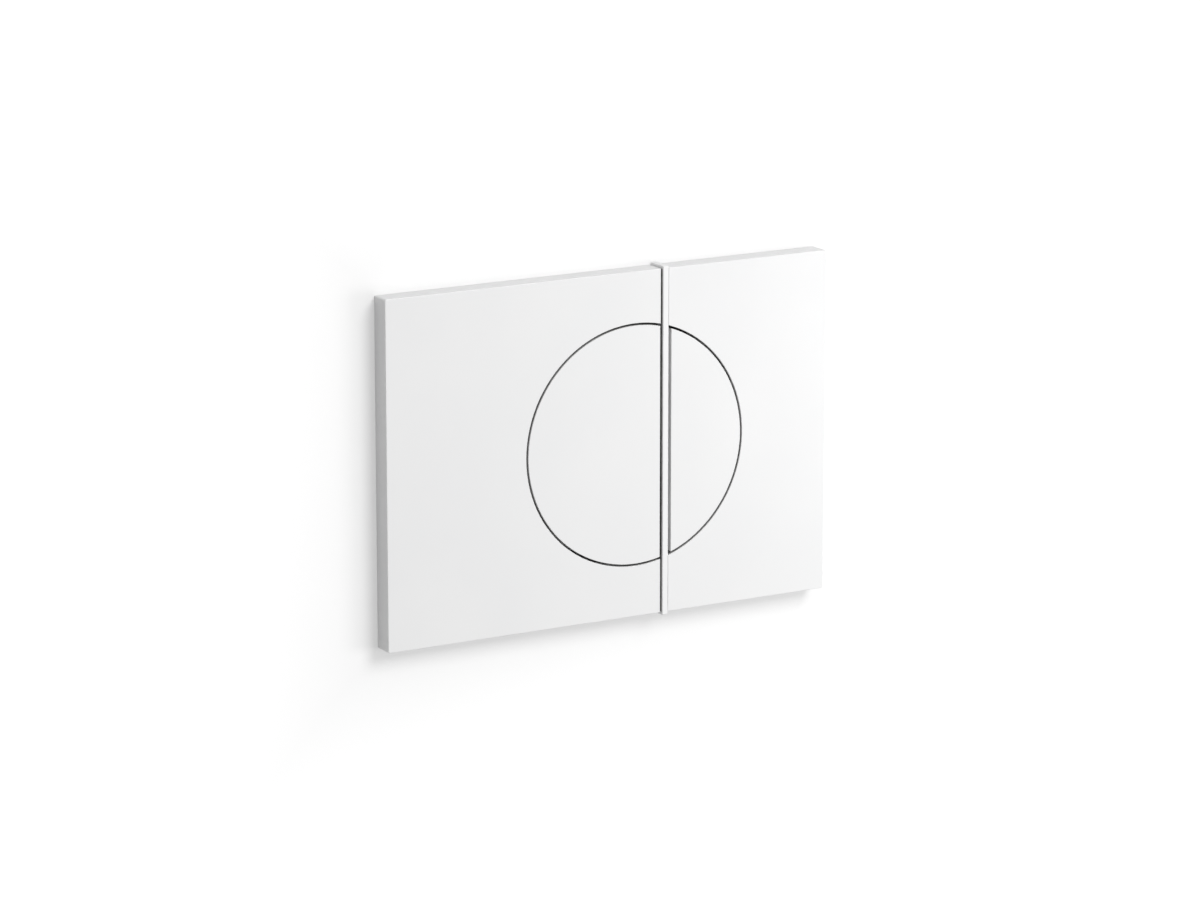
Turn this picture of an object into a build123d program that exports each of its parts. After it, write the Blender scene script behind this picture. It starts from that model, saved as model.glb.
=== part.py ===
from build123d import *
import math
import os

# Dual flush button plate for a concealed cistern, in millimetres.
# X runs to the right along the wall, Y runs into the wall and Z is up.
# The origin is the centre of the plate on the wall plane, so the front face is at negative Y.

# Face plate: a moulded tray with its open side to the wall
plate_width = 220.0
plate_height = 155.0
plate_depth = 10.0
front_wall = 2.5
rim_wall = 2.5
edge_radius = 0.3
corner_radius = 0.9
plate_rib_thickness = 1.2
plate_rib_height = 1.2
plate_rib_offset = 6.0

# Round button field, with the seam between the plate and the buttons
field_x = 12.4
field_radius = 54.0
seam_gap = 1.0
opening_chamfer = 0.12
button_edge_radius = 0.12
collar_wall = 1.8
collar_depth = 3.8

# Divider strip over the front, wrapped round the top and bottom rims
strip_x = 27.1
strip_width = 2.7
strip_proud = 1.0
strip_overhang = 1.1
strip_edge_radius = 0.2
strip_bend_radius = 0.6
strip_seat = 1.2
strip_side_gap = 0.7
strip_end_gap = 0.5
strip_beam_depth = 4.8
strip_beam_gap = 0.4
strip_hook_thickness = 1.1
strip_hook_grip = 0.6
strip_hook_gap = 0.1

# Stop pads on the back of the strip
pad_thickness = 0.8
pad_inset = 0.3
pad_corner = 0.5

# Buttons: caps with a skirt, catches behind the strip and lugs for a hinge pin
large_strip_gap = 0.9
small_strip_gap = 2.0
cap_wall = 2.2
skirt_wall = 1.6
button_rib_thickness = 1.4
button_rib_height = 2.4
catch_width = 8.0
catch_thickness = 1.6
catch_gap = 0.1
catch_tip_inset = 0.4
large_catch_z = 34.0
small_catch_z = 20.0

# Hinges: the pin is pressed into the button's lugs and turns in snap bearings of the plate
pin_radius = 1.25
pin_inset = 5.95
pin_depth = 5.5
pin_overhang = 0.6
pin_chamfer = 0.3
pin_clearance = 0.05
lug_z = 14.0
lug_width = 4.0
lug_wall = 1.35
bearing_wall = 1.6
bearing_width = 5.0
bearing_rear_wall = 0.9
bearing_mouth = 2.15
bearing_gap = 0.5

# Hexagons of the pushers and nuts
hexagon_sides = 6

# Pushers: adjusting screws in a boss of each button
large_rod_x = 14.0
small_rod_x = 40.5
boss_radius = 4.0
boss_height = 3.8
pusher_shank_radius = 2.0
pusher_shank_length = 2.8
pusher_hole_spare = 0.3
pusher_head_flats = 8.0
pusher_head_thickness = 1.5

# Push rods with domed heads, springs, end caps and lock nuts
rod_contact_gap = 0.3
rod_radius = 3.0
rod_chamfer = 0.5
rod_reach = 62.0
rod_bore_cover = 2.7
head_radius = 6.0
head_dome_height = 2.0
head_rim = 2.0
spigot_radius = 3.9
spigot_length = 2.7
spring_length = 11.2
spring_radius = 4.7
spring_wire_radius = 0.45
spring_wire_sides = 12
spring_turns = 5
spring_seat_gap = 0.05
tip_radius = 4.5
tip_length = 10.0
tip_wall = 3.0
tip_edge_radius = 1.2
rod_nut_flats = 10.0
rod_nut_thickness = 4.0
nut_chamfer = 0.4

# Rod guides: bushes snapped into the bridge of the frame
guide_clearance = 0.06
guide_flange_radius = 7.0
guide_flange = 1.5
guide_sleeve_radius = 4.6
guide_hole_clearance = 0.05
guide_barb = 0.5
guide_barb_gap = 0.1
guide_barb_length = 1.2
guide_tail = 6.0

# Mounting frame behind the plate
frame_gap = 2.5
frame_face_gap = 2.0
frame_corner = 3.0
flange_wall = 2.5
skirt_thickness = 2.0
opening_margin = 3.7
bridge_wall = 3.0
bridge_margin = 2.0
bridge_slot_width = 14.0
bridge_slot_edge = 10.0
bridge_slot_corner = 3.0
gusset_size = 8.0
gusset_thickness = 2.5

# Snap hooks of the plate, through windows of the frame
hook_spread = 90.0
hook_width = 10.0
hook_thickness = 1.8
hook_barb = 1.2
hook_barb_gap = 0.1
hook_tip_gap = 0.8
hook_tip_lead = 0.1
window_side_gap = 0.75
window_front_gap = 0.5
window_grip_gap = 0.4

# Fixing studs with thumb nuts in wells of the frame, and lock nuts behind
stud_radius = 3.0
anchor_radius = 4.0
stud_reach = 70.0
stud_adjustment = 10.0
stud_chamfer = 0.6
stud_end_gap = 1.0
stud_hole_clearance = 0.3
well_radius = 8.2
well_wall = 1.8
well_depth = 10.0
well_floor = 2.5
knob_radius = 7.5
knob_height = 7.5
knob_scallops = 10
scallop_radius = 1.3
scallop_depth = 0.8
knob_slot_width = 1.6
knob_slot_depth = 2.0
lock_nut_flats = 10.0
lock_nut_thickness = 5.0

# Levels from front to back, as Y
front_y = -plate_depth
inner_y = front_y + front_wall
collar_y = front_y + collar_depth
cap_back_y = front_y + cap_wall
groove_y = front_y + strip_seat
beam_y = front_y + strip_beam_depth
pad_y = beam_y + pad_thickness
catch_front_y = pad_y + catch_gap
catch_rear_y = catch_front_y + catch_thickness
hinge_y = front_y + pin_depth
boss_y = cap_back_y + boss_height
pusher_y = boss_y + pusher_head_thickness
dome_y = pusher_y + rod_contact_gap
head_rim_y = dome_y + head_dome_height
head_seat_y = head_rim_y + head_rim
rod_front_y = dome_y + rod_bore_cover
spigot_y = head_seat_y + spigot_length
guide_y = head_seat_y + spring_length
bridge_y = guide_y + guide_flange
bridge_rear_y = bridge_y + bridge_wall
tip_rear_y = rod_reach + tip_wall
tip_front_y = tip_rear_y - tip_length
flange_y = inner_y + frame_face_gap
flange_rear_y = flange_y + flange_wall
well_floor_y = flange_y + well_depth
well_rear_y = well_floor_y + well_floor
knob_y = well_floor_y - knob_height

# Outlines that several pieces share
aperture_radius = field_radius + seam_gap / 2
button_radius = field_radius - seam_gap / 2
collar_radius = aperture_radius + collar_wall
strip_left_x = strip_x - strip_width / 2
strip_right_x = strip_x + strip_width / 2
strip_top_z = plate_height / 2 + strip_overhang
strip_leg_z = plate_height / 2 - strip_seat
rim_inner_z = plate_height / 2 - rim_wall
strip_hook_y = -(strip_end_gap + strip_hook_thickness)
large_edge_x = strip_left_x - large_strip_gap
small_edge_x = strip_right_x + small_strip_gap
hinge_offset = button_radius - pin_inset
large_hinge_x = field_x - hinge_offset
small_hinge_x = field_x + hinge_offset
bearing_radius = pin_radius + pin_clearance + bearing_wall
bearing_rear_y = hinge_y + pin_radius + bearing_rear_wall
bearing_z = math.sqrt(aperture_radius**2 - (hinge_offset - bearing_radius) ** 2) + bearing_gap
frame_width = plate_width - 2 * (rim_wall + frame_gap)
frame_height = plate_height - 2 * (rim_wall + frame_gap)
opening_half_width = field_x + collar_radius + opening_margin
opening_half_height = collar_radius + opening_margin
rail_x = (opening_half_width + frame_width / 2) / 2
bridge_left_x = large_rod_x - guide_flange_radius - bridge_margin
bridge_right_x = small_rod_x + guide_flange_radius + bridge_margin
bridge_middle_x = (bridge_left_x + bridge_right_x) / 2
bridge_leg_z = opening_half_height - bridge_wall
hook_inner_x = rail_x - hook_thickness / 2
hook_outer_x = rail_x + hook_thickness / 2
hook_barb_y = flange_rear_y + hook_barb_gap
stud_front_y = knob_y + stud_end_gap
stud_shoulder_y = well_rear_y + lock_nut_thickness + stud_adjustment


def facing(y):
    """Sketch plane at depth y, seen from the front: X right, Z up, extruded towards the viewer."""
    return Plane.XZ.offset(-y)


def rectangle_between(low_u, high_u, low_v, high_v, mode=Mode.ADD):
    """Rectangle given by its limits in the sketch's own two directions."""
    with Locations(((low_u + high_u) / 2, (low_v + high_v) / 2)):
        Rectangle(abs(high_u - low_u), abs(high_v - low_v), mode=mode)


os.makedirs("parts", exist_ok=True)

# Face plate: block with eased front edges, hollowed from behind
with BuildPart() as face_plate:
    with BuildSketch(facing(0)):
        RectangleRounded(plate_width, plate_height, corner_radius)
    extrude(amount=plate_depth)
    fillet(face_plate.faces().sort_by(Axis.Y)[0].edges(), edge_radius)
    with BuildSketch(facing(0)):
        Rectangle(plate_width - 2 * rim_wall, plate_height - 2 * rim_wall)
    extrude(amount=plate_depth - front_wall, mode=Mode.SUBTRACT)
    # Groove across the front and both rims, wider than the strip so that a dark line shows beside it
    groove_width = strip_width + 2 * strip_side_gap
    with BuildSketch(Plane.YZ.offset(strip_x - groove_width / 2)):
        rectangle_between(front_y - strip_proud, 0, -strip_top_z, strip_top_z)
        rectangle_between(groove_y, 0, -strip_leg_z, strip_leg_z, mode=Mode.SUBTRACT)
    extrude(amount=groove_width, mode=Mode.SUBTRACT)
    # Close notches at the back of both rims for the strip's hooks, which keep it in the middle
    notch_width = strip_width + 2 * strip_hook_gap
    with BuildSketch(Plane.YZ.offset(strip_x - notch_width / 2)):
        for side in (-1, 1):
            rectangle_between(
                strip_hook_y - strip_hook_gap, 0, side * (rim_inner_z - rim_wall), side * strip_leg_z
            )
    extrude(amount=notch_width, mode=Mode.SUBTRACT)
    # Round opening with a chamfered front edge, and the collar behind it
    with BuildSketch(facing(0)):
        with Locations((field_x, 0)):
            Circle(aperture_radius)
    extrude(amount=plate_depth, mode=Mode.SUBTRACT)
    opening_arcs = face_plate.edges().filter_by(GeomType.CIRCLE).group_by(SortBy.RADIUS)[-1]
    chamfer(opening_arcs.group_by(Axis.Y)[0], opening_chamfer)
    with BuildSketch(facing(collar_y)):
        with Locations((field_x, 0)):
            Circle(collar_radius)
            Circle(aperture_radius, mode=Mode.SUBTRACT)
    extrude(amount=collar_y - inner_y)
    # Ribs on the back of the front wall, either side of the collar
    with BuildSketch(facing(inner_y + plate_rib_height)):
        for side in (-1, 1):
            rib_x = field_x + side * (collar_radius + plate_rib_offset)
            rim_x = side * (plate_width / 2 - rim_wall)
            with Locations((rib_x, 0)):
                Rectangle(plate_rib_thickness, 2 * rim_inner_z)
            rectangle_between(rib_x, rim_x, -plate_rib_thickness / 2, plate_rib_thickness / 2)
    extrude(amount=plate_rib_height)
    # Snap bearings for the two hinge pins, open to the back
    for hinge_x in (large_hinge_x, small_hinge_x):
        for low_z in (bearing_z, -bearing_z - bearing_width):
            with BuildSketch(Plane.XY.offset(low_z)):
                rectangle_between(
                    hinge_x - bearing_radius, hinge_x + bearing_radius, inner_y, bearing_rear_y
                )
                with Locations((hinge_x, hinge_y)):
                    Circle(pin_radius + pin_clearance, mode=Mode.SUBTRACT)
                rectangle_between(
                    hinge_x - bearing_mouth / 2,
                    hinge_x + bearing_mouth / 2,
                    hinge_y,
                    bearing_rear_y,
                    mode=Mode.SUBTRACT,
                )
            extrude(amount=bearing_width)
    # Snap hooks for the frame, with their barbs outwards
    for side in (-1, 1):
        for hook_z in (-hook_spread / 2, hook_spread / 2):
            with BuildSketch(Plane.XY.offset(hook_z - hook_width / 2)):
                with BuildLine():
                    Polyline(
                        (side * hook_inner_x, inner_y),
                        (side * hook_inner_x, -hook_tip_gap),
                        (side * (hook_outer_x + hook_tip_lead), -hook_tip_gap),
                        (side * (hook_outer_x + hook_barb), hook_barb_y),
                        (side * hook_outer_x, hook_barb_y),
                        (side * hook_outer_x, inner_y),
                        close=True,
                    )
                make_face()
            extrude(amount=hook_width)
face_plate.part.label = "face_plate"
export_step(face_plate.part, "parts/face_plate.step")

# Divider strip: bar, legs, beam across the round opening and hooks at the back of the legs
with BuildPart() as divider_strip:
    beam_half_chord = math.sqrt(aperture_radius**2 - (abs(strip_x - field_x) + strip_width / 2) ** 2)
    beam_half_length = beam_half_chord - strip_beam_gap
    hook_tip_z = rim_inner_z - strip_hook_grip
    with BuildSketch(Plane.YZ.offset(strip_left_x)) as strip_profile:
        rectangle_between(front_y - strip_proud, -strip_end_gap, -strip_top_z, strip_top_z)
        fillet(strip_profile.vertices().group_by(Axis.X)[0], strip_bend_radius)
        rectangle_between(groove_y, 0, -strip_leg_z, strip_leg_z, mode=Mode.SUBTRACT)
        rectangle_between(groove_y, beam_y, -beam_half_length, beam_half_length)
        for side in (-1, 1):
            rectangle_between(strip_hook_y, -strip_end_gap, side * hook_tip_z, side * strip_leg_z)
    extrude(amount=strip_width)
    side_faces = divider_strip.faces().filter_by(Axis.X).sort_by(Axis.X)
    side_edges = side_faces[0].edges() + side_faces[-1].edges()
    shown_edges = side_edges.filter_by(
        lambda edge: edge.center().Y < front_y or abs(edge.center().Z) > plate_height / 2
    )
    fillet(shown_edges, strip_edge_radius)
divider_strip.part.label = "divider_strip"
export_step(divider_strip.part, "parts/divider_strip.step")

# Stop pads: four pads stuck on the back of the beam, one for each catch
with BuildPart() as stop_pads:
    with BuildSketch(facing(pad_y)):
        for pad_z in (-large_catch_z, -small_catch_z, small_catch_z, large_catch_z):
            with Locations((strip_x, pad_z)):
                RectangleRounded(strip_width - 2 * pad_inset, catch_width, pad_corner)
    extrude(amount=pad_thickness)
stop_pads.part.label = "stop_pads"
export_step(stop_pads.part, "parts/stop_pads.step")


def flush_button(label, side, edge_x, hinge_x, rod_x, catch_z):
    """Button cap that lies on the given side of its straight free edge."""
    half_plane = (Align.MIN if side > 0 else Align.MAX, Align.CENTER)
    skirt_x = edge_x + side * skirt_wall
    catch_tip_x = strip_x - side * (strip_width / 2 - catch_tip_inset)
    with BuildPart() as button:
        with BuildSketch(facing(collar_y)):
            with Locations((field_x, 0)):
                Circle(button_radius)
            with Locations((edge_x, 0)):
                Rectangle(plate_width, plate_height, align=half_plane, mode=Mode.INTERSECT)
        extrude(amount=collar_depth)
        fillet(button.faces().sort_by(Axis.Y)[0].edges(), button_edge_radius)
        with BuildSketch(facing(collar_y)):
            with Locations((field_x, 0)):
                Circle(button_radius - skirt_wall)
            with Locations((skirt_x, 0)):
                Rectangle(plate_width, plate_height, align=half_plane, mode=Mode.INTERSECT)
        extrude(amount=collar_y - cap_back_y, mode=Mode.SUBTRACT)
        # Ribs from the hinge lugs to the free edge
        half_rib = button_rib_thickness / 2
        rib_start_x = hinge_x - side * (pin_radius + lug_wall / 2)
        with BuildSketch(facing(cap_back_y + button_rib_height)):
            for rib_z in (-lug_z, lug_z):
                rectangle_between(rib_start_x, skirt_x, rib_z - half_rib, rib_z + half_rib)
        extrude(amount=button_rib_height)
        # Lugs that hold the pin
        for low_z in (-lug_z - lug_width / 2, lug_z - lug_width / 2):
            with BuildSketch(Plane.XY.offset(low_z)):
                lug_radius = pin_radius + lug_wall
                rectangle_between(hinge_x - lug_radius, hinge_x + lug_radius, cap_back_y, hinge_y)
                with Locations((hinge_x, hinge_y)):
                    Circle(lug_radius)
                    Circle(pin_radius, mode=Mode.SUBTRACT)
            extrude(amount=lug_width)
        # Boss with the screw hole of the pusher
        with BuildSketch(facing(boss_y)):
            with Locations((rod_x, 0)):
                Circle(boss_radius)
        extrude(amount=boss_height)
        with BuildSketch(facing(boss_y)):
            with Locations((rod_x, 0)):
                Circle(pusher_shank_radius)
        extrude(amount=pusher_shank_length + pusher_hole_spare, mode=Mode.SUBTRACT)
        # Catches that reach behind the strip
        for low_z in (-catch_z - catch_width / 2, catch_z - catch_width / 2):
            with BuildSketch(Plane.XY.offset(low_z)):
                rectangle_between(edge_x, skirt_x, cap_back_y, catch_rear_y)
                rectangle_between(skirt_x, catch_tip_x, catch_front_y, catch_rear_y)
            extrude(amount=catch_width)
    button.part.label = label
    export_step(button.part, f"parts/{label}.step")


def hinge_pin(label, hinge_x):
    """Plain pin with eased ends."""
    half_length = bearing_z + bearing_width + pin_overhang
    with BuildPart() as pin:
        with BuildSketch(Plane.XY.offset(-half_length)):
            with Locations((hinge_x, hinge_y)):
                Circle(pin_radius)
        extrude(amount=2 * half_length)
        chamfer(pin.edges().filter_by(GeomType.CIRCLE), pin_chamfer)
    pin.part.label = label
    export_step(pin.part, f"parts/{label}.step")


def pusher(label, rod_x):
    """Hexagon-headed adjusting screw in the button's boss."""
    with BuildPart() as screw:
        with BuildSketch(facing(pusher_y)):
            with Locations((rod_x, 0)):
                RegularPolygon(pusher_head_flats / 2, hexagon_sides, major_radius=False)
        extrude(amount=pusher_head_thickness)
        with BuildSketch(facing(boss_y)):
            with Locations((rod_x, 0)):
                Circle(pusher_shank_radius)
        extrude(amount=pusher_shank_length)
    screw.part.label = label
    export_step(screw.part, f"parts/{label}.step")


flush_button("large_button", -1, large_edge_x, large_hinge_x, large_rod_x, large_catch_z)
flush_button("small_button", 1, small_edge_x, small_hinge_x, small_rod_x, small_catch_z)
hinge_pin("large_button_pin", large_hinge_x)
hinge_pin("small_button_pin", small_hinge_x)
pusher("large_pusher", large_rod_x)
pusher("small_pusher", small_rod_x)

# Mounting frame: flange with two skirts to the wall, a bridge for the rods and a well for each stud
with BuildPart() as mounting_frame:
    opening_width = 2 * opening_half_width
    opening_height = 2 * opening_half_height
    with BuildSketch(facing(flange_rear_y)):
        RectangleRounded(frame_width, frame_height, frame_corner)
        Rectangle(opening_width, opening_height, mode=Mode.SUBTRACT)
    extrude(amount=flange_wall)
    with BuildSketch(facing(0)):
        RectangleRounded(frame_width, frame_height, frame_corner)
        RectangleRounded(
            frame_width - 2 * skirt_thickness,
            frame_height - 2 * skirt_thickness,
            frame_corner - skirt_thickness,
            mode=Mode.SUBTRACT,
        )
    extrude(amount=-flange_y)
    with BuildSketch(facing(0)):
        Rectangle(opening_width + 2 * skirt_thickness, opening_height + 2 * skirt_thickness)
        Rectangle(opening_width, opening_height, mode=Mode.SUBTRACT)
    extrude(amount=-flange_y)
    # Bridge: a web behind the opening on two legs, stiffened at its corners
    with BuildSketch(Plane.YZ.offset(bridge_left_x)):
        rectangle_between(flange_y, bridge_rear_y, -opening_half_height, opening_half_height)
        rectangle_between(flange_y, bridge_y, -bridge_leg_z, bridge_leg_z, mode=Mode.SUBTRACT)
    extrude(amount=bridge_right_x - bridge_left_x)
    for gusset_x in (bridge_left_x, bridge_right_x - gusset_thickness):
        for side in (-1, 1):
            with BuildSketch(Plane.YZ.offset(gusset_x)):
                with BuildLine():
                    Polyline(
                        (bridge_y, side * bridge_leg_z),
                        (bridge_y - gusset_size, side * bridge_leg_z),
                        (bridge_y, side * (bridge_leg_z - gusset_size)),
                        close=True,
                    )
                make_face()
            extrude(amount=gusset_thickness)
    with BuildSketch(facing(bridge_rear_y)):
        with Locations((large_rod_x, 0), (small_rod_x, 0)):
            Circle(guide_sleeve_radius + guide_hole_clearance)
        slot_length = bridge_leg_z - guide_flange_radius - 2 * bridge_slot_edge
        slot_z = guide_flange_radius + bridge_slot_edge + slot_length / 2
        with Locations((bridge_middle_x, -slot_z), (bridge_middle_x, slot_z)):
            RectangleRounded(bridge_slot_width, slot_length, bridge_slot_corner)
    extrude(amount=bridge_wall, mode=Mode.SUBTRACT)
    # Wells with a floor that the thumb nuts bear on
    with BuildSketch(facing(well_rear_y)):
        with Locations((-rail_x, 0), (rail_x, 0)):
            Circle(well_radius + well_wall)
    extrude(amount=well_rear_y - flange_y)
    with BuildSketch(facing(well_floor_y)):
        with Locations((-rail_x, 0), (rail_x, 0)):
            Circle(well_radius)
    extrude(amount=well_depth, mode=Mode.SUBTRACT)
    with BuildSketch(facing(well_rear_y)):
        with Locations((-rail_x, 0), (rail_x, 0)):
            Circle(stud_radius + stud_hole_clearance)
    extrude(amount=well_floor, mode=Mode.SUBTRACT)
    # Windows for the plate's snap hooks
    with BuildSketch(facing(flange_rear_y)):
        half_window = hook_width / 2 + window_side_gap
        for side in (-1, 1):
            for hook_z in (-hook_spread / 2, hook_spread / 2):
                rectangle_between(
                    side * (hook_inner_x - window_front_gap),
                    side * (hook_outer_x + window_grip_gap),
                    hook_z - half_window,
                    hook_z + half_window,
                )
    extrude(amount=flange_wall, mode=Mode.SUBTRACT)
mounting_frame.part.label = "mounting_frame"
export_step(mounting_frame.part, "parts/mounting_frame.step")


def rod_guide(label, rod_x):
    """Flanged bush whose barb snaps behind the bridge."""
    bore = rod_radius + guide_clearance
    barb_y = bridge_rear_y + guide_barb_gap
    outline = [
        (bore, guide_y),
        (guide_flange_radius, guide_y),
        (guide_flange_radius, bridge_y),
        (guide_sleeve_radius, bridge_y),
        (guide_sleeve_radius, barb_y),
        (guide_sleeve_radius + guide_barb, barb_y),
        (guide_sleeve_radius, barb_y + guide_barb_length),
        (guide_sleeve_radius, bridge_rear_y + guide_tail),
        (bore, bridge_rear_y + guide_tail),
    ]
    with BuildPart() as guide:
        with BuildSketch(Plane.XY):
            with BuildLine():
                Polyline(*[(rod_x + radius, y) for radius, y in outline], close=True)
            make_face()
        revolve(axis=Axis((rod_x, 0, 0), (0, 1, 0)))
    guide.part.label = label
    export_step(guide.part, f"parts/{label}.step")


def rod_head(label, rod_x):
    """Domed head with a blind bore for the rod and a spigot inside the spring."""
    dome_radius = (head_radius**2 + head_dome_height**2) / (2 * head_dome_height)
    half_angle = math.asin(head_radius / dome_radius) / 2
    dome_middle_x = rod_x + dome_radius * math.sin(half_angle)
    dome_middle_y = dome_y + dome_radius * (1 - math.cos(half_angle))
    with BuildPart() as head:
        with BuildSketch(Plane.XY):
            with BuildLine():
                ThreePointArc(
                    (rod_x, dome_y), (dome_middle_x, dome_middle_y), (rod_x + head_radius, head_rim_y)
                )
                Polyline(
                    (rod_x + head_radius, head_rim_y),
                    (rod_x + head_radius, head_seat_y),
                    (rod_x + spigot_radius, head_seat_y),
                    (rod_x + spigot_radius, spigot_y),
                    (rod_x + rod_radius, spigot_y),
                    (rod_x + rod_radius, rod_front_y),
                    (rod_x, rod_front_y),
                    (rod_x, dome_y),
                )
            make_face()
        revolve(axis=Axis((rod_x, 0, 0), (0, 1, 0)))
    head.part.label = label
    export_step(head.part, f"parts/{label}.step")


def push_rod(label, rod_x):
    """Round rod from its head to its end cap."""
    with BuildPart() as rod:
        with BuildSketch(facing(rod_reach)):
            with Locations((rod_x, 0)):
                Circle(rod_radius)
        extrude(amount=rod_reach - rod_front_y)
        chamfer(rod.edges().filter_by(GeomType.CIRCLE), rod_chamfer)
    rod.part.label = label
    export_step(rod.part, f"parts/{label}.step")


def rod_spring(label, rod_x):
    """Compression coil of tilted half turns, its wire drawn with flats to keep the piece light."""
    coil_start_y = head_seat_y + spring_seat_gap + spring_wire_radius
    coil_height = spring_length - 2 * (spring_seat_gap + spring_wire_radius)
    half_rise = coil_height / (2 * spring_turns)
    tilt = math.degrees(math.atan2(half_rise / 2, spring_radius))
    wire_turn = 0.0
    with BuildPart() as spring:
        for half_turn in range(2 * spring_turns):
            side = 1 if half_turn % 2 == 0 else -1
            start_y = coil_start_y + half_turn * half_rise
            with BuildSketch(Plane.XY):
                with Locations((rod_x + side * spring_radius, start_y)):
                    RegularPolygon(spring_wire_radius, spring_wire_sides, rotation=wire_turn)
            middle = (rod_x, start_y + half_rise / 2, 0)
            tilted = (-side * half_rise / 2, -spring_radius, 0)
            revolve(axis=Axis(middle, tilted), revolution_arc=180)
            # The flats arrive mirrored about the tilted axis, and the next half turn takes them over
            wire_turn = -(wire_turn + 2 * side * tilt)
    spring.part.label = label
    export_step(spring.part, f"parts/{label}.step")


def rod_tip(label, rod_x):
    """End cap screwed on the rod, with a rounded end."""
    with BuildPart() as tip:
        with BuildSketch(facing(tip_rear_y)):
            with Locations((rod_x, 0)):
                Circle(tip_radius)
        extrude(amount=tip_length)
        fillet(tip.faces().sort_by(Axis.Y)[-1].edges(), tip_edge_radius)
        with BuildSketch(facing(rod_reach)):
            with Locations((rod_x, 0)):
                Circle(rod_radius)
        extrude(amount=tip_length - tip_wall, mode=Mode.SUBTRACT)
    tip.part.label = label
    export_step(tip.part, f"parts/{label}.step")


def hexagon_nut(label, nut_x, rear_y, flats, thickness, bore):
    """Hexagon nut on an axis into the wall, with chamfered ends."""
    with BuildPart() as nut:
        with BuildSketch(facing(rear_y)):
            with Locations((nut_x, 0)):
                RegularPolygon(flats / 2, hexagon_sides, major_radius=False)
        extrude(amount=thickness)
        ends = nut.faces().sort_by(Axis.Y)
        chamfer(ends[0].edges() + ends[-1].edges(), nut_chamfer)
        with BuildSketch(facing(rear_y)):
            with Locations((nut_x, 0)):
                Circle(bore)
        extrude(amount=thickness, mode=Mode.SUBTRACT)
    nut.part.label = label
    export_step(nut.part, f"parts/{label}.step")


for size, rod_x in (("large", large_rod_x), ("small", small_rod_x)):
    rod_guide(f"{size}_rod_guide", rod_x)
    rod_head(f"{size}_rod_head", rod_x)
    push_rod(f"{size}_push_rod", rod_x)
    rod_spring(f"{size}_rod_spring", rod_x)
    rod_tip(f"{size}_rod_tip", rod_x)
    hexagon_nut(
        f"{size}_rod_nut", rod_x, tip_front_y, rod_nut_flats, rod_nut_thickness, rod_radius
    )


def fixing_stud(label, stud_x):
    """Stepped stud: the thick end anchors in the cistern, the thin end takes the nuts; no threads here."""
    with BuildPart() as stud:
        with BuildSketch(facing(stud_reach)):
            with Locations((stud_x, 0)):
                Circle(anchor_radius)
        extrude(amount=stud_reach - stud_shoulder_y)
        with BuildSketch(facing(stud_shoulder_y)):
            with Locations((stud_x, 0)):
                Circle(stud_radius)
        extrude(amount=stud_shoulder_y - stud_front_y)
        rims = stud.edges().filter_by(GeomType.CIRCLE).group_by(Axis.Y)
        shoulder_rim = rims[1].group_by(SortBy.RADIUS)[-1]
        chamfer(rims[0] + shoulder_rim + rims[-1], stud_chamfer)
    stud.part.label = label
    export_step(stud.part, f"parts/{label}.step")


def thumb_nut(label, stud_x):
    """Scalloped knob with a screwdriver slot, seated on the floor of its well."""
    with BuildPart() as knob:
        with BuildSketch(facing(well_floor_y)):
            with Locations((stud_x, 0)):
                Circle(knob_radius)
                with PolarLocations(knob_radius + scallop_radius - scallop_depth, knob_scallops):
                    Circle(scallop_radius, mode=Mode.SUBTRACT)
                Circle(stud_radius, mode=Mode.SUBTRACT)
        extrude(amount=knob_height)
        with BuildSketch(facing(knob_y)):
            with Locations((stud_x, 0)):
                Rectangle(2 * knob_radius, knob_slot_width)
        extrude(amount=-knob_slot_depth, mode=Mode.SUBTRACT)
    knob.part.label = label
    export_step(knob.part, f"parts/{label}.step")


for hand, stud_x in (("left", -rail_x), ("right", rail_x)):
    fixing_stud(f"{hand}_fixing_stud", stud_x)
    thumb_nut(f"{hand}_thumb_nut", stud_x)
    hexagon_nut(
        f"{hand}_lock_nut",
        stud_x,
        well_rear_y + lock_nut_thickness,
        lock_nut_flats,
        lock_nut_thickness,
        stud_radius,
    )
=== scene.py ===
import math

import bmesh
import bpy
from mathutils import Matrix, Vector


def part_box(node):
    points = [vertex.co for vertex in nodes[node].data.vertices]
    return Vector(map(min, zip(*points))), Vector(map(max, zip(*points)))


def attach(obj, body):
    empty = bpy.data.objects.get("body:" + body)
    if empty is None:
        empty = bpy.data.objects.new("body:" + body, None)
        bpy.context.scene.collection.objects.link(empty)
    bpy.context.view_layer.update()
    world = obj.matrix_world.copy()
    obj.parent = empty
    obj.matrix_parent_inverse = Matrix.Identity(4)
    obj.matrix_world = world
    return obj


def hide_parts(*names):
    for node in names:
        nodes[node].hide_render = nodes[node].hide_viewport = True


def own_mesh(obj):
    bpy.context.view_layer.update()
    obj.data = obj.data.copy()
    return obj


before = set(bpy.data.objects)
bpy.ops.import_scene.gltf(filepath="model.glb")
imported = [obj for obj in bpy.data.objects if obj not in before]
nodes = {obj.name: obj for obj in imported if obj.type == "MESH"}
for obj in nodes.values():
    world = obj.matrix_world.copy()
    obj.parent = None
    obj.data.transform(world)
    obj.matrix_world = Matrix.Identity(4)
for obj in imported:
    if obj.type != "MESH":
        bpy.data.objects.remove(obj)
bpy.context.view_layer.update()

# Mounting frame: a grey injection-moulded tray, bolted to the cistern behind the tiles.
# Its plastic has the fine matt grain of an eroded mould, and every other piece is built on it.
noise_span = (0.3, 0.7)
gloss_noise_shift = (0.31, 0.17, 0.23)


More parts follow.
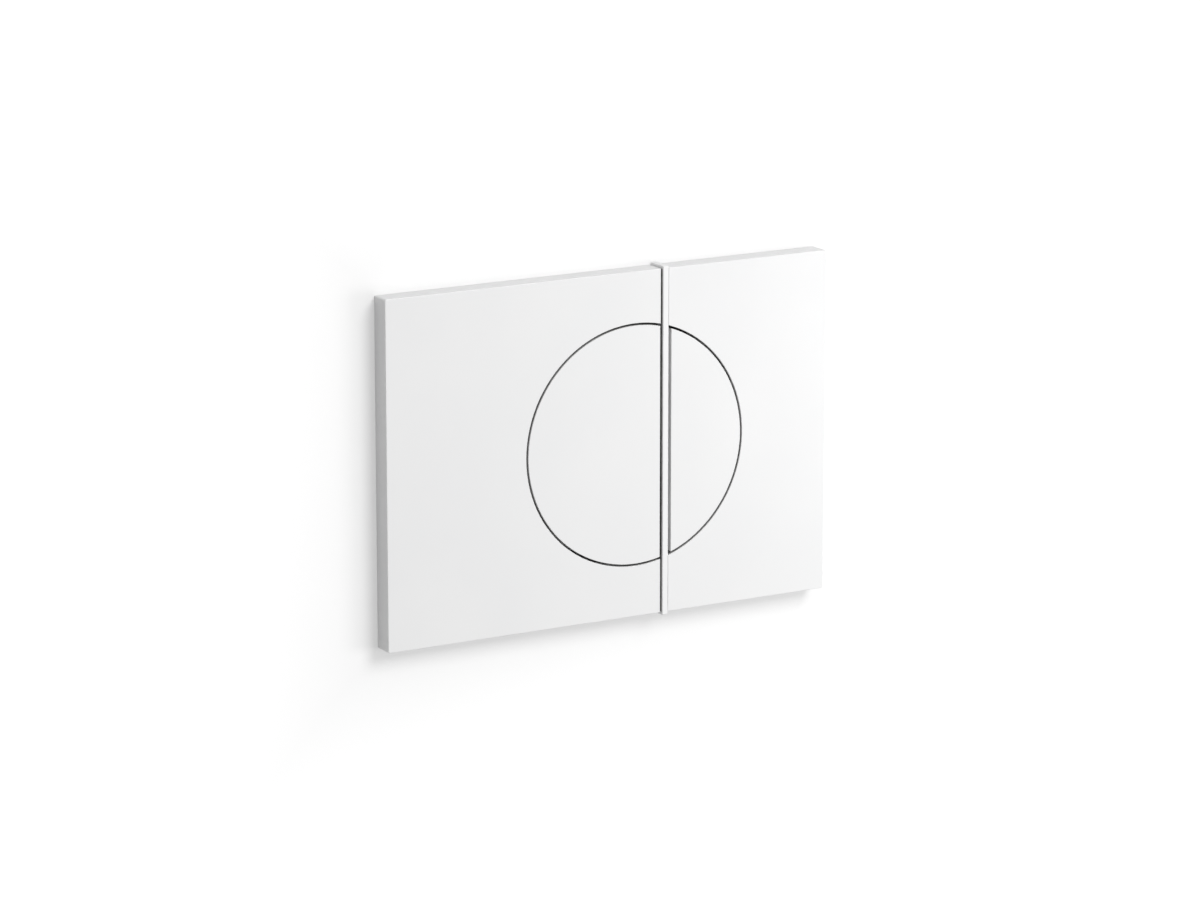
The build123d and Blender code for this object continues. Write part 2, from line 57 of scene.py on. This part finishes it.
def remap(tree, value, before, after=(0.0, 1.0)):
    """Carry a socket from one span of values to another, held at both ends."""
    step = tree.nodes.new("ShaderNodeMapRange")
    for name, number in zip(("From Min", "From Max", "To Min", "To Max"), (*before, *after)):
        step.inputs[name].default_value = number
    tree.links.new(value, step.inputs["Value"])
    return step.outputs["Result"]


def moulded_grain_group():
    """Tone drift, gloss drift and grain height of a moulded surface, on Object coordinates."""
    group = bpy.data.node_groups.new("moulded_grain", "ShaderNodeTree")
    for name in ("Drift Scale", "Grain Scale"):
        group.interface.new_socket(name, in_out="INPUT", socket_type="NodeSocketFloat")
    for name in ("Tone", "Gloss", "Height"):
        group.interface.new_socket(name, in_out="OUTPUT", socket_type="NodeSocketFloat")
    add, link = group.nodes.new, group.links.new
    entry = add("NodeGroupInput")
    result = add("NodeGroupOutput")
    place = add("ShaderNodeTexCoord")
    shifted = add("ShaderNodeMapping")
    shifted.inputs["Location"].default_value = gloss_noise_shift
    link(place.outputs["Object"], shifted.inputs["Vector"])
    for output, vector, scale, detail in (
        ("Tone", place.outputs["Object"], "Drift Scale", 4.0),
        ("Gloss", shifted.outputs["Vector"], "Drift Scale", 6.0),
        ("Height", place.outputs["Object"], "Grain Scale", 2.0),
    ):
        noise = add("ShaderNodeTexNoise")
        noise.inputs["Detail"].default_value = detail
        link(vector, noise.inputs["Vector"])
        link(entry.outputs[scale], noise.inputs["Scale"])
        link(noise.outputs["Fac"], result.inputs[output])
    return group


moulded_grain = moulded_grain_group()


def surface(name, dark, pale, rough, drift_mm, grain_mm, grain_depth_mm, metallic=0.0):
    """Material whose colour, gloss and grain vary over the surface; sizes in millimetres."""
    material = bpy.data.materials.new(name)
    material.use_nodes = True
    tree = material.node_tree
    shader = tree.nodes["Principled BSDF"]
    shader.inputs["Metallic"].default_value = metallic
    grain = tree.nodes.new("ShaderNodeGroup")
    grain.node_tree = moulded_grain
    grain.inputs["Drift Scale"].default_value = 1000 / drift_mm
    grain.inputs["Grain Scale"].default_value = 1000 / grain_mm
    tones = tree.nodes.new("ShaderNodeValToRGB")
    tones.name = "tones"
    for stop, position, colour in zip(tones.color_ramp.elements, noise_span, (dark, pale)):
        stop.position = position
        stop.color = (*colour, 1)
    bump = tree.nodes.new("ShaderNodeBump")
    bump.inputs["Strength"].default_value = 1.0
    bump.inputs["Distance"].default_value = grain_depth_mm / 1000
    tree.links.new(grain.outputs["Tone"], tones.inputs["Fac"])
    tree.links.new(grain.outputs["Height"], bump.inputs["Height"])
    tree.links.new(tones.outputs["Color"], shader.inputs["Base Color"])
    tree.links.new(remap(tree, grain.outputs["Gloss"], noise_span, rough), shader.inputs["Roughness"])
    tree.links.new(bump.outputs["Normal"], shader.inputs["Normal"])
    return material


def finish_nodes(material, *names):
    """Give CAD nodes a finished material in place of their plain one."""
    for name in names:
        for material_slot in nodes[name].material_slots:
            material_slot.material = material


frame_grey = surface(
    "frame_grey",
    dark=(0.40, 0.42, 0.44),
    pale=(0.50, 0.52, 0.54),
    rough=(0.42, 0.58),
    drift_mm=30,
    grain_mm=0.4,
    grain_depth_mm=0.02,
)
finish_nodes(frame_grey, "mounting_frame")

# Fixing studs: zinc-plated steel, rolled with an M6 thread in front and an M8 thread behind.
# The thick end is screwed into the cistern, the thin end carries the frame between two nuts.
# The roots of the threads are painted dark as shade and are duller; the crests keep the plating's
# colour.
thread_height = 0.6
thread_profile = (
    (0.0, 1),
    (0.125, 1),
    (0.4375, 0),
    (0.5625, 0),
    (0.875, 1),
    (1.0, 1),
)
lead_in = 1.5
spare_turns = 2
on_plane = 1e-6
sharp_angle = math.radians(28)


def thread_run(bm, x, front, rear, radius, pitch, steps):
    """Spin one pitch of a thread along Y, cut it square at both ends and add it to bm, still open."""
    turns = math.ceil((rear - front) / pitch) + spare_turns
    run = bmesh.new()
    depth = run.verts.layers.float.new("thread_depth")
    line = []
    for share, sunk in thread_profile:
        reach = radius - sunk * thread_height * pitch
        vert = run.verts.new((x + reach, front + (share - lead_in) * pitch, 0))
        vert[depth] = sunk
        line.append(vert)
    bmesh.ops.spin(
        run,
        geom=line + [run.edges.new(pair) for pair in zip(line, line[1:])],
        cent=(x, 0, 0),
        axis=(0, 1, 0),
        dvec=(0, pitch / steps, 0),
        angle=2 * math.pi * turns,
        steps=steps * turns,
    )
    weld_distance = pitch / 200
    cut_tolerance = pitch / 5000
    bmesh.ops.remove_doubles(run, verts=run.verts, dist=weld_distance)
    for y, outward in ((front, -1), (rear, 1)):
        bmesh.ops.bisect_plane(
            run,
            geom=run.verts[:] + run.edges[:] + run.faces[:],
            dist=cut_tolerance,
            plane_co=(x, y, 0),
            plane_no=(0, outward, 0),
            clear_outer=True,
        )
    cut_run = bpy.data.meshes.new("cut_run")
    run.to_mesh(cut_run)
    run.free()
    bm.from_mesh(cut_run)
    bpy.data.meshes.remove(cut_run)


def rim(bm, y):
    """Open edges at depth y."""
    return [
        edge
        for edge in bm.edges
        if edge.is_boundary and all(abs(vert.co.y - y) < on_plane for vert in edge.verts)
    ]


def ease_end(bm, x, end, into, radius, length):
    """Turn the thread down to a cone at one end; into is the direction from the end into the rod."""
    thread_depth = bm.verts.layers.float["thread_depth"]
    for vert in bm.verts:
        depth = (vert.co.y - end) * into
        if -on_plane <= depth < length:
            vert[thread_depth] = 0
            offset = Vector((vert.co.x - x, 0, vert.co.z))
            allowed = radius - length + depth
            if offset.length > allowed:
                offset *= allowed / offset.length
                vert.co = (x + offset.x, vert.co.y, offset.z)


def close_ends(bm, *ends):
    """Fill the open rims at the given depths."""
    for end in ends:
        bmesh.ops.contextual_create(bm, geom=rim(bm, end))


def overlay(material, mask, colour, roughness):
    """Lay another colour and roughness over a material where the mask socket says so."""
    tree = material.node_tree
    shader = tree.nodes["Principled BSDF"]
    for name, kind, value in (("Base Color", "RGBA", (*colour, 1)), ("Roughness", "FLOAT", roughness)):
        mix = tree.nodes.new("ShaderNodeMix")
        mix.data_type = kind
        mix.inputs["B"].default_value = value
        tree.links.new(mask, mix.inputs["Factor"])
        tree.links.new(shader.inputs[name].links[0].from_socket, mix.inputs["A"])
        tree.links.new(mix.outputs["Result"], shader.inputs[name])


def paint_thread_root_shade(material, colour, roughness):
    """Paint shade into the roots of a thread, darker and duller by the depth that its mesh carries."""
    depth = material.node_tree.nodes.new("ShaderNodeAttribute")
    depth.attribute_name = "thread_depth"
    overlay(material, depth.outputs["Fac"], colour, roughness)


def piece(name, bm, material, body, slot, *replaced):
    """Store a finished bmesh as a piece that rides on a body and stands for CAD nodes."""
    bmesh.ops.recalc_face_normals(bm, faces=bm.faces)
    for face in bm.faces:
        face.smooth = True
    for edge in bm.edges:
        edge.smooth = len(edge.link_faces) == 2 and edge.calc_face_angle() < sharp_angle
    mesh = bpy.data.meshes.new(name)
    bm.to_mesh(mesh)
    bm.free()
    mesh.materials.append(material)
    made = bpy.data.objects.new(name, mesh)
    bpy.context.scene.collection.objects.link(made)
    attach(made, body)
    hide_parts(*replaced)
    return made


zinc_plate = surface(
    "zinc_plate",
    dark=(0.30, 0.31, 0.33),
    pale=(0.50, 0.50, 0.48),
    rough=(0.30, 0.46),
    drift_mm=6,
    grain_mm=0.25,
    grain_depth_mm=0.004,
    metallic=1.0,
)
paint_thread_root_shade(zinc_plate, colour=(0.10, 0.10, 0.10), roughness=0.6)
thin_radius, thin_pitch, thin_steps = 0.003, 0.001, 36
thick_radius, thick_pitch, thick_steps = 0.004, 0.00125, 40
stud_shoulder = 0.022
stud_chamfer = 0.0006
for hand in ("left", "right"):
    node = f"{hand}_fixing_stud"
    low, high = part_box(node)
    stud_x = (low.x + high.x) / 2
    bm = bmesh.new()
    bm.verts.layers.float.new("thread_depth")
    thread_run(bm, stud_x, low.y, stud_shoulder, thin_radius, thin_pitch, thin_steps)
    thread_run(bm, stud_x, stud_shoulder, high.y, thick_radius, thick_pitch, thick_steps)
    ease_end(bm, stud_x, low.y, 1, thin_radius, stud_chamfer)
    ease_end(bm, stud_x, high.y, -1, thick_radius, stud_chamfer)
    bmesh.ops.bridge_loops(bm, edges=rim(bm, stud_shoulder))
    close_ends(bm, low.y, high.y)
    piece(f"{hand}_threaded_stud", bm, zinc_plate, "mounted_plate", "zinc_steel", node)

# Nuts of the studs: zinc-plated hexagons behind the frame set its distance from the wall.
# The scalloped thumb nuts in front are black nylon mouldings, tightened by hand or by their slot.
finish_nodes(zinc_plate, "left_lock_nut", "right_lock_nut")
knob_black = surface(
    "knob_black",
    dark=(0.045, 0.045, 0.05),
    pale=(0.085, 0.085, 0.09),
    rough=(0.38, 0.55),
    drift_mm=12,
    grain_mm=0.3,
    grain_depth_mm=0.015,
)
finish_nodes(knob_black, "left_thumb_nut", "right_thumb_nut")

# Rod guides: dark acetal bushes, snapped into the bridge of the frame by a barb.
# The rods' lock nuts behind are moulded from the same plastic.
guide_dark = surface(
    "guide_dark",
    dark=(0.16, 0.17, 0.19),
    pale=(0.23, 0.24, 0.26),
    rough=(0.28, 0.40),
    drift_mm=10,
    grain_mm=0.5,
    grain_depth_mm=0.004,
)
finish_nodes(guide_dark, "large_rod_guide", "small_rod_guide", "large_rod_nut", "small_rod_nut")

# Push rods: off-white plastic rods, smooth where they slide and threaded behind for their end caps.
# The thread is moulded on, so that the rod's length can be set to the depth of the wall.
rod_white = surface(
    "rod_white",
    dark=(0.78, 0.78, 0.755),
    pale=(0.86, 0.86, 0.84),
    rough=(0.28, 0.42),
    drift_mm=14,
    grain_mm=0.6,
    grain_depth_mm=0.004,
)
# The roots of the rod's thread are painted darker as shade.
paint_thread_root_shade(rod_white, colour=(0.42, 0.42, 0.40), roughness=0.6)
rod_pitch, rod_thread_steps = 0.001, 36
rod_thread_start = 0.034
neck_radius = 0.0024
neck_length = 0.0006
rod_easing = 0.0005
smooth_steps = 40


def push_rod(size):
    """Rod with a smooth front run and a threaded rear run, joined at a turned-down neck."""
    node = f"{size}_push_rod"
    low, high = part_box(node)
    rod_x = (low.x + high.x) / 2
    rod_radius = (high.x - low.x) / 2
    bm = bmesh.new()
    bm.verts.layers.float.new("thread_depth")
    smooth_line = (
        (low.y, rod_radius - rod_easing),
        (low.y + rod_easing, rod_radius),
        (rod_thread_start - neck_length, rod_radius),
        (rod_thread_start, neck_radius),
    )
    verts = [bm.verts.new((rod_x + radius, y, 0)) for y, radius in smooth_line]
    lines = [bm.edges.new(pair) for pair in zip(verts, verts[1:])]
    bmesh.ops.spin(
        bm,
        geom=verts + lines,
        cent=(rod_x, 0, 0),
        axis=(0, 1, 0),
        angle=2 * math.pi,
        steps=smooth_steps,
        use_merge=True,
    )
    thread_run(bm, rod_x, rod_thread_start, high.y, rod_radius, rod_pitch, rod_thread_steps)
    ease_end(bm, rod_x, high.y, -1, rod_radius, rod_easing)
    bmesh.ops.bridge_loops(bm, edges=rim(bm, rod_thread_start))
    close_ends(bm, low.y, high.y)
    piece(f"{size}_threaded_rod", bm, rod_white, f"{size}_rod", "rod_plastic", node)


for size in ("large", "small"):
    push_rod(size)

# Rod heads and end caps: satin blue mouldings at the two ends of each rod.
# The domed heads lie under the buttons, the rounded caps touch the levers of the flush valve.
head_blue = surface(
    "head_blue",
    dark=(0.12, 0.28, 0.46),
    pale=(0.18, 0.37, 0.57),
    rough=(0.30, 0.44),
    drift_mm=12,
    grain_mm=0.5,
    grain_depth_mm=0.005,
)
finish_nodes(head_blue, "large_rod_head", "small_rod_head", "large_rod_tip", "small_rod_tip")

# Return springs: drawn stainless wire, coiled with a closed turn at each end.
# They stand between a rod's head and its guide, and in the plate flatten towards the guide with the rod;
# here each coil is built at rest and rides with the mounted plate.
spring_wire = surface(
    "spring_wire",
    dark=(0.48, 0.48, 0.49),
    pale=(0.68, 0.68, 0.69),
    rough=(0.29, 0.40),
    drift_mm=1.5,
    grain_mm=0.2,
    grain_depth_mm=0.002,
    metallic=1.0,
)
wire_radius = 0.00045
wire_sides = 14
coil_steps = 40
closed_rise = 2.1 * wire_radius
open_turns = 4


def return_spring(size):
    """Coil of round wire with closed ends, seated where its CAD node is."""
    node = f"{size}_rod_spring"
    low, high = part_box(node)
    coil_radius = (high.x - low.x) / 2 - wire_radius
    coil_x = (low.x + high.x) / 2
    open_rise = (high.y - low.y - 2 * wire_radius - 2 * closed_rise) / open_turns
    bm = bmesh.new()
    start = Matrix.Translation((coil_x + coil_radius, low.y + wire_radius, 0))
    ring = bmesh.ops.create_circle(bm, segments=wire_sides, radius=wire_radius, matrix=start)["verts"]
    ends = [list(bm.edges)]
    moving = ring + ends[0]
    for turns, rise in ((1, closed_rise), (open_turns, open_rise), (1, closed_rise)):
        moving = bmesh.ops.spin(
            bm,
            geom=moving,
            cent=(coil_x, 0, 0),
            axis=(0, 1, 0),
            dvec=(0, rise / coil_steps, 0),
            angle=2 * math.pi * turns,
            steps=coil_steps * turns,
        )["geom_last"]
    ends.append([part for part in moving if isinstance(part, bmesh.types.BMEdge)])
    for end in ends:
        bmesh.ops.contextual_create(bm, geom=end)
    spring = piece(f"{size}_return_spring", bm, spring_wire, "mounted_plate", "spring_steel", node)
    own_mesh(spring)


for size in ("large", "small"):
    return_spring(size)

# Face plate, divider strip and buttons: gloss white mouldings with a faint orange peel, the strip a
# little paler. The plate clips on the frame, the strip hooks behind its rims, the buttons hang on pins.
# Shade is painted on the flanks of the gaps between them, grey near the front and near black deeper in.
field_x = 0.0124
seam_radius = 0.054
strip_x = 0.0271
strip_half_width = 0.00135
groove_x = 0.02735
left_gap_x = 0.0254
shade_patches_per_m = 400
thinnest_shade = 0.75


def calculate(tree, operation, first, second=0.0):
    """One step of arithmetic on sockets or numbers."""
    step = tree.nodes.new("ShaderNodeMath")
    step.operation = operation
    for socket, value in zip(step.inputs, (first, second)):
        if isinstance(value, float):
            socket.default_value = value
        else:
            tree.links.new(value, socket)
    return step.outputs[0]


def position(tree, kind="Object"):
    """X, Y and Z sockets of one kind of coordinates."""
    place = tree.nodes.new("ShaderNodeTexCoord")
    axes = tree.nodes.new("ShaderNodeSeparateXYZ")
    tree.links.new(place.outputs[kind], axes.inputs[0])
    return axes.outputs


def painted_gap_shade_group():
    """Masks of the painted shade in the round seam and beside the strip, grey on the flanks and near
    black deeper in both.
    """
    group = bpy.data.node_groups.new("painted_gap_shade", "ShaderNodeTree")
    for name in ("Flank Shade", "Deep Shade"):
        group.interface.new_socket(name, in_out="OUTPUT", socket_type="NodeSocketFloat")
    axes = position(group)
    depth = axes["Y"]

    def away(value, middle):
        """Distance of a socket from a middle value."""
        return calculate(group, "ABSOLUTE", calculate(group, "SUBTRACT", value, middle))

    def fade(value, unshaded, shaded):
        """Rise from nothing at the unshaded value to full at the shaded one."""
        return remap(group, value, (unshaded, shaded))

    def both(first, *others):
        """Product of masks."""
        for other in others:
            first = calculate(group, "MULTIPLY", first, other)
        return first

    across = calculate(group, "SUBTRACT", axes["X"], field_x)
    radius_squared = calculate(group, "ADD", both(across, across), both(axes["Z"], axes["Z"]))
    from_seam = away(calculate(group, "SQRT", radius_squared), seam_radius)
    from_flank = away(away(axes["X"], strip_x), strip_half_width)
    seam = fade(from_seam, unshaded=0.0009, shaded=0.0006)
    groove = both(
        fade(away(axes["X"], groove_x), unshaded=0.0029, shaded=0.00265),
        fade(depth, unshaded=-0.0063, shaded=-0.0075),
    )
    edges = both(
        calculate(group, "MAXIMUM", seam, groove),
        fade(depth, unshaded=-0.00985, shaded=-0.0094),
    )
    flank = both(
        fade(from_flank, unshaded=0.0002, shaded=0.0001),
        fade(depth, unshaded=-0.0107, shaded=-0.0100),
    )
    seam_deep_shade = both(seam, fade(depth, unshaded=-0.0088, shaded=-0.0080))
    left_gap_deep_shade = both(
        fade(away(axes["X"], left_gap_x), unshaded=0.0013, shaded=0.0010),
        fade(depth, unshaded=-0.0100, shaded=-0.0090),
        fade(depth, unshaded=-0.0066, shaded=-0.0083),
    )
    place = group.nodes.new("ShaderNodeTexCoord")
    patches = group.nodes.new("ShaderNodeTexNoise")
    patches.inputs["Scale"].default_value = shade_patches_per_m
    group.links.new(place.outputs["Object"], patches.inputs["Vector"])
    shade_extent = both(
        fade(depth, unshaded=-0.0063, shaded=-0.0067),
        fade(calculate(group, "ABSOLUTE", axes["Z"]), unshaded=0.0774, shaded=0.0770),
        remap(group, patches.outputs["Fac"], noise_span, (thinnest_shade, 1.0)),
    )
    result = group.nodes.new("NodeGroupOutput")
    for name, first, second in (("Flank Shade", edges, flank), ("Deep Shade", seam_deep_shade, left_gap_deep_shade)):
        mask = calculate(group, "MAXIMUM", first, second)
        group.links.new(both(mask, shade_extent), result.inputs[name])
    return group


gloss_white = surface(
    "gloss_white",
    dark=(0.845, 0.847, 0.85),
    pale=(0.865, 0.865, 0.865),
    rough=(0.28, 0.34),
    drift_mm=45,
    grain_mm=2.5,
    grain_depth_mm=0.0006,
)
# Painted shade in the gaps: grey where the flank mask is full, near black where the deep mask is full.
gap_shade_masks = gloss_white.node_tree.nodes.new("ShaderNodeGroup")
gap_shade_masks.node_tree = painted_gap_shade_group()
overlay(gloss_white, gap_shade_masks.outputs["Flank Shade"], colour=(0.32, 0.32, 0.315), roughness=0.85)
overlay(gloss_white, gap_shade_masks.outputs["Deep Shade"], colour=(0.04, 0.04, 0.04), roughness=0.9)
finish_nodes(gloss_white, "face_plate", "large_button", "small_button")
strip_white = gloss_white.copy()
strip_white.name = "strip_white"
strip_stops = strip_white.node_tree.nodes["tones"].color_ramp.elements
for stop, colour in zip(strip_stops, ((0.88, 0.882, 0.885), (0.90, 0.90, 0.90))):
    stop.color = (*colour, 1)
finish_nodes(strip_white, "divider_strip")

# Hinge pins and pushers: drawn steel pins are pressed into lugs behind the buttons.
# The pushers are pale acetal screws that set where the buttons meet the rods.
pin_steel = surface(
    "pin_steel",
    dark=(0.50, 0.50, 0.51),
    pale=(0.66, 0.66, 0.67),
    rough=(0.29, 0.40),
    drift_mm=2,
    grain_mm=0.2,
    grain_depth_mm=0.002,
    metallic=1.0,
)
finish_nodes(pin_steel, "large_button_pin", "small_button_pin")
pusher_ivory = surface(
    "pusher_ivory",
    dark=(0.80, 0.79, 0.75),
    pale=(0.88, 0.87, 0.84),
    rough=(0.28, 0.40),
    drift_mm=8,
    grain_mm=0.5,
    grain_depth_mm=0.004,
)
finish_nodes(pusher_ivory, "large_pusher", "small_pusher")

# Stop pads: small black rubber pads, stuck on the back of the strip.
# The catches of the buttons come back against them without a click.
pad_black = surface(
    "pad_black",
    dark=(0.03, 0.03, 0.03),
    pale=(0.06, 0.06, 0.06),
    rough=(0.75, 0.90),
    drift_mm=4,
    grain_mm=0.3,
    grain_depth_mm=0.03,
)
finish_nodes(pad_black, "stop_pads")

# Wall: the plain white surface that the plate is mounted on, with the service opening behind it.
# It is white for the camera and keeps the plate's shadow; from behind it lets the works show. A
# near-black sheet of painted shade covers the opening, seen only by the camera from the front through
# the gaps.
plate_half = (0.11, 0.0775)
opening_half = (0.1098, 0.0773)
wall_half = (2.0, 2.0)
wall_gap = 0.0002
# Painted light on the wall: bounced light sees the darker wall colour, the camera a paler one.
wall_colour = (0.58, 0.58, 0.58)
wall_colour_seen = (0.75, 0.75, 0.75)
glow_reach = 0.35
glow_curve = 0.6
glow_span = (0.22, 0.60)
shade_sheet_colour = (0.02, 0.02, 0.02)


def blank_material(name):
    """Material with an empty node tree."""
    material = bpy.data.materials.new(name)
    material.use_nodes = True
    material.node_tree.nodes.clear()
    return material


def seen(tree):
    """Socket that is 1 for rays from the camera, off a gloss or through glass."""
    rays = tree.nodes.new("ShaderNodeLightPath").outputs
    either = calculate(tree, "MAXIMUM", rays["Is Camera Ray"], rays["Is Glossy Ray"])
    return calculate(tree, "MAXIMUM", either, rays["Is Transmission Ray"])


def put_out(tree, kind, share, first, second):
    """Turn the first shader into the second by the share socket, and put the result out."""
    mix = tree.nodes.new("ShaderNodeMixShader")
    for value, socket in zip((share, first.outputs[0], second.outputs[0]), mix.inputs):
        tree.links.new(value, socket)
    tree.links.new(mix.outputs[0], tree.nodes.new(kind).inputs["Surface"])


wall_white = blank_material("wall_white")
tree = wall_white.node_tree
rays = tree.nodes.new("ShaderNodeLightPath")
tones = tree.nodes.new("ShaderNodeMix")
tones.data_type = "RGBA"
tones.inputs["A"].default_value = (*wall_colour, 1)
tones.inputs["B"].default_value = (*wall_colour_seen, 1)
tree.links.new(rays.outputs["Is Camera Ray"], tones.inputs["Factor"])
paint = tree.nodes.new("ShaderNodeBsdfDiffuse")
tree.links.new(tones.outputs["Result"], paint.inputs["Color"])
axes = position(tree)
past_side, past_top = (
    calculate(tree, "SUBTRACT", calculate(tree, "ABSOLUTE", axes[axis]), half)
    for axis, half in zip("XZ", plate_half)
)
# Painted light: the glow is weakest at the plate's edge and grows outwards over glow_reach, so the
# shadow near the plate stays dark while the far wall is white.
distance = remap(tree, calculate(tree, "MAXIMUM", past_side, past_top), (0.0, glow_reach))
level = remap(tree, calculate(tree, "POWER", distance, glow_curve), (0.0, 1.0), glow_span)
glow = tree.nodes.new("ShaderNodeEmission")
tree.links.new(calculate(tree, "MULTIPLY", level, seen(tree)), glow.inputs["Strength"])
lit = tree.nodes.new("ShaderNodeAddShader")
tree.links.new(paint.outputs[0], lit.inputs[0])
tree.links.new(glow.outputs[0], lit.inputs[1])
facing = tree.nodes.new("ShaderNodeNewGeometry")
clear = tree.nodes.new("ShaderNodeBsdfTransparent")
put_out(tree, "ShaderNodeOutputMaterial", facing.outputs["Backfacing"], lit, clear)

# Painted shade: a near-black sheet over the opening, seen only by the camera from the front; light
# passes through it both ways.
painted_shade_sheet = blank_material("painted_shade_sheet")
tree = painted_shade_sheet.node_tree
rays = tree.nodes.new("ShaderNodeLightPath")
facing = tree.nodes.new("ShaderNodeNewGeometry")
front_seen = calculate(tree, "GREATER_THAN", rays.outputs["Is Camera Ray"], facing.outputs["Backfacing"])
clear = tree.nodes.new("ShaderNodeBsdfTransparent")
shade = tree.nodes.new("ShaderNodeBsdfDiffuse")
shade.inputs["Color"].default_value = (*shade_sheet_colour, 1)
put_out(tree, "ShaderNodeOutputMaterial", front_seen, clear, shade)

bm = bmesh.new()
bmesh.ops.create_grid(
    bm,
    x_segments=1,
    y_segments=1,
    size=1.0,
    matrix=Matrix.Rotation(math.radians(90), 4, "X") @ Matrix.Diagonal((*opening_half, 1, 1)),
)
bm.faces.ensure_lookup_table()
bm.faces[0].material_index = 1
outer = bmesh.ops.extrude_edge_only(bm, edges=bm.edges[:])["geom"]
for face in bm.faces[1:]:
    face.material_index = 0
bmesh.ops.scale(
    bm,
    vec=(wall_half[0] / opening_half[0], 1, wall_half[1] / opening_half[1]),
    verts=[part for part in outer if isinstance(part, bmesh.types.BMVert)],
)
bmesh.ops.translate(bm, vec=(0, wall_gap, 0), verts=bm.verts)
bmesh.ops.recalc_face_normals(bm, faces=bm.faces)
bm.normal_update()
bmesh.ops.reverse_faces(bm, faces=[face for face in bm.faces if face.normal.y > 0])
wall_mesh = bpy.data.meshes.new("wall")
bm.to_mesh(wall_mesh)
bm.free()
wall_mesh.materials.append(wall_white)
wall_mesh.materials.append(painted_shade_sheet)
wall = bpy.data.objects.new("wall", wall_mesh)
bpy.context.scene.collection.objects.link(wall)

# Studio light: a surround paler above than below, a large soft key and a small lamp close to the right.
# A further lamp stands behind the wall, so that the works can be seen from there.
surround_span = (0.34, 0.66)
world = bpy.data.worlds.new("studio")
bpy.context.scene.world = world
world.use_nodes = True
tree = world.node_tree
tree.nodes.clear()
surround = tree.nodes.new("ShaderNodeBackground")
backdrop = tree.nodes.new("ShaderNodeBackground")
backdrop.inputs["Strength"].default_value = 1.0
for background in (surround, backdrop):
    background.inputs["Color"].default_value = (1, 1, 1, 1)
upward = remap(tree, position(tree, "Generated")["Z"], (-1.0, 1.0), surround_span)
tree.links.new(upward, surround.inputs["Strength"])
put_out(tree, "ShaderNodeOutputWorld", seen(tree), surround, backdrop)


def lamp(name, place, width, watts):
    """Square area lamp that points at the plate."""
    light = bpy.data.lights.new(name, "AREA")
    light.shape = "SQUARE"
    light.size = width
    light.energy = watts
    made = bpy.data.objects.new(name, light)
    made.location = place
    made.rotation_euler = (-Vector(place)).to_track_quat("-Z", "Y").to_euler()
    bpy.context.scene.collection.objects.link(made)


lamp("key", place=(0.66, -1.72, 1.3), width=1.04, watts=22.9)
lamp("side", place=(0.62, -0.56, -0.09), width=0.3, watts=1.66)
lamp("works", place=(-1.0, 0.9, 0.9), width=0.4, watts=12)

# Camera: the photo's view from the left and slightly above, through a long lens.
# It looks straight along its own axis, so that the plate's edges fall where the photo has them.
azimuth = math.radians(-29.77)
elevation = math.radians(13.42)
camera_distance = 2.1911
camera_right = 0.0002
camera_up = -0.00265
back = Vector(
    (
        math.sin(azimuth) * math.cos(elevation),
        -math.cos(azimuth) * math.cos(elevation),
        math.sin(elevation),
    )
)
right = Vector((math.cos(azimuth), math.sin(azimuth), 0))
up = back.cross(right)
camera_data = bpy.data.cameras.new("camera")
camera_data.lens = 150.15
camera_data.sensor_width = 36.0
camera_data.clip_end = 20.0
camera = bpy.data.objects.new("camera", camera_data)
stand = camera_distance * back + camera_right * right + camera_up * up
turn = Matrix((right, up, back)).transposed().to_4x4()
camera.matrix_world = Matrix.Translation(stand) @ turn
bpy.context.scene.collection.objects.link(camera)
bpy.context.scene.camera = camera
bpy.context.scene.view_settings.view_transform = "Standard"
